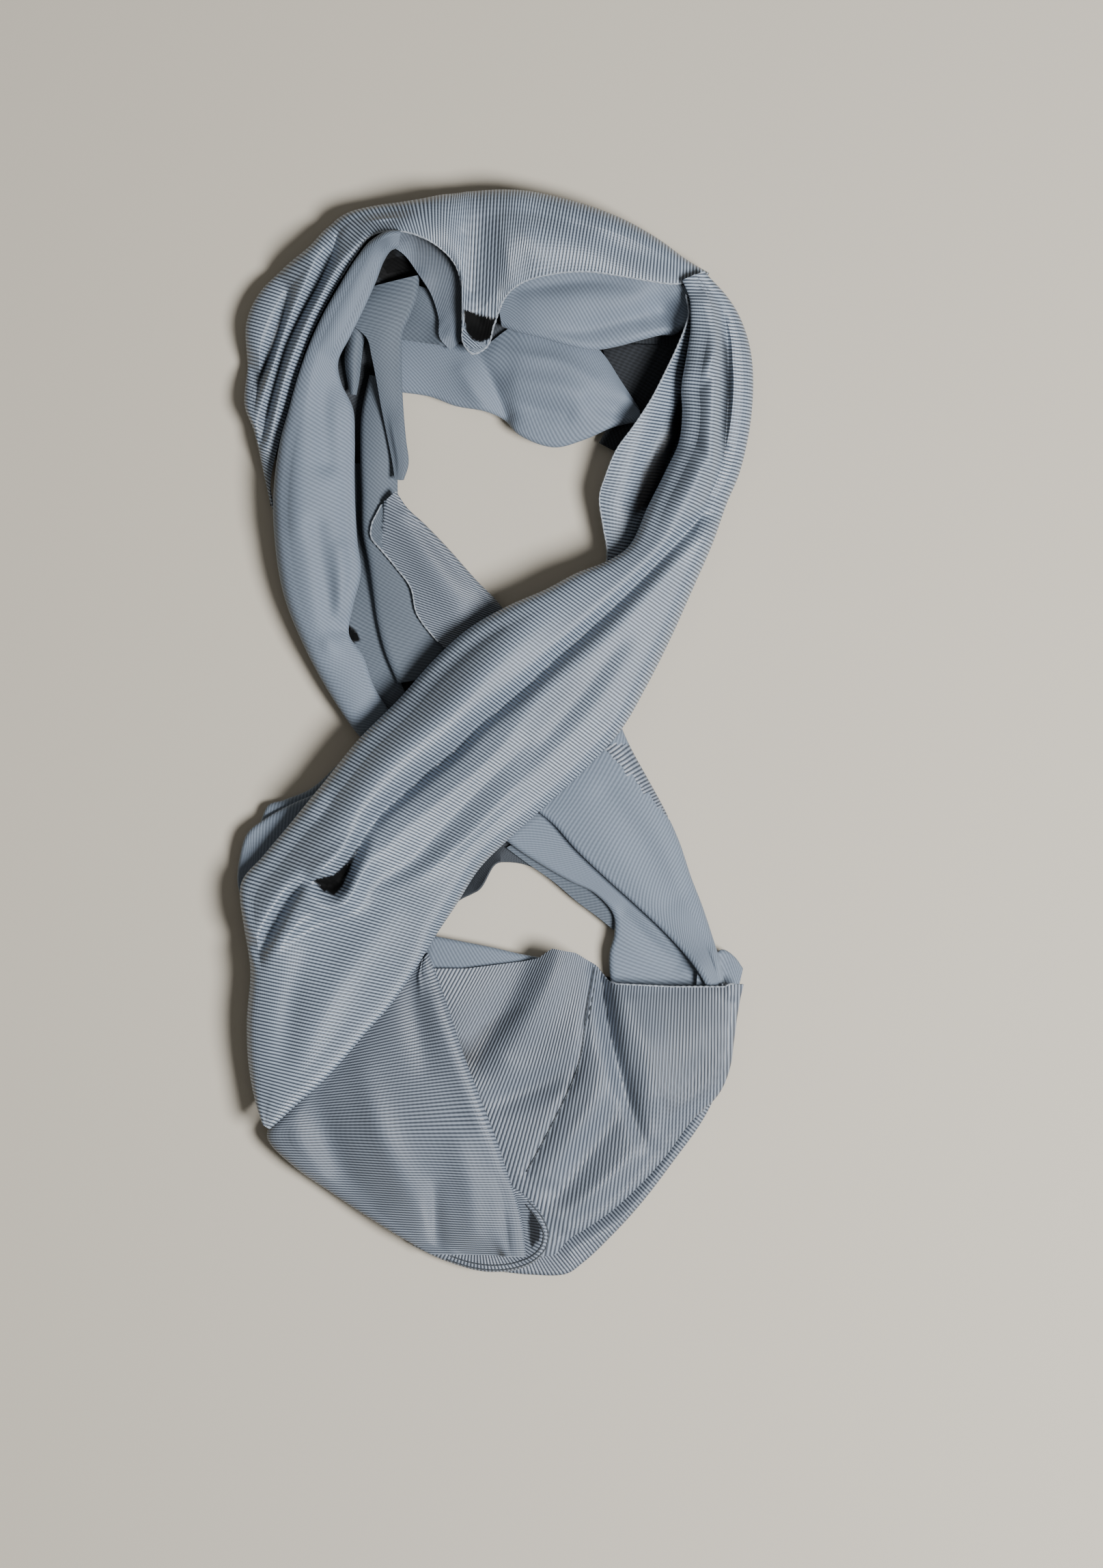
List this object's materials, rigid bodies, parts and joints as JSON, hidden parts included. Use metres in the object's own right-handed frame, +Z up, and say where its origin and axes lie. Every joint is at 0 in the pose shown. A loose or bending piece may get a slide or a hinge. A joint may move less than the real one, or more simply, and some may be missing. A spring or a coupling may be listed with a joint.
{
  "type": "infinity scarf",
  "caption": "Thin ribbed knit loop scarf laid flat in a figure eight, with turned folds, free cut edges and a matte back face showing inside the loops.",
  "frame": {"origin": "centre of the footprint on the table, under the strand that crosses on top", "axes": "+Y along the figure eight towards the larger loop with the turned cut edge, +X across it to the right, +Z up from the table"},
  "size_m": [0.1756, 0.369, 0.0275],
  "materials": {
    "ribbed_face": "fine ribbed knit with a soft silver sheen",
    "matte_back": "matte fine twill back of the knit",
    "hidden_cloth": "matte knit"
  },
  "bodies": {
    "root": {"outer_strand": "ribbed_face", "front_strand": "ribbed_face", "ribbed_wedge": "ribbed_face", "right_inner_wall": "ribbed_face", "inner_under_layer": "ribbed_face", "bottom_under_layer": "ribbed_face", "bottom_right_stretch": "ribbed_face", "hem_roll": "ribbed_face", "bottom_left_panel": "ribbed_face", "left_panel": "matte_back", "inner_strip": "matte_back", "second_strip": "matte_back", "loop_fold": "matte_back", "crease_strip": "matte_back", "hood_lip": "matte_back", "hood_inner_fold": "matte_back", "inner_layer_top": "matte_back", "top_turned_edge": "matte_back", "pocket_layer": "matte_back", "lower_inner_strip": "matte_back", "cuff_back": "matte_back", "under_stretch_right": "matte_back", "under_layer_left_a": "matte_back", "under_layer_left_b": "matte_back", "turned_strip": "matte_back", "hidden_layers": "hidden_cloth"}
  },
  "joints": []
}
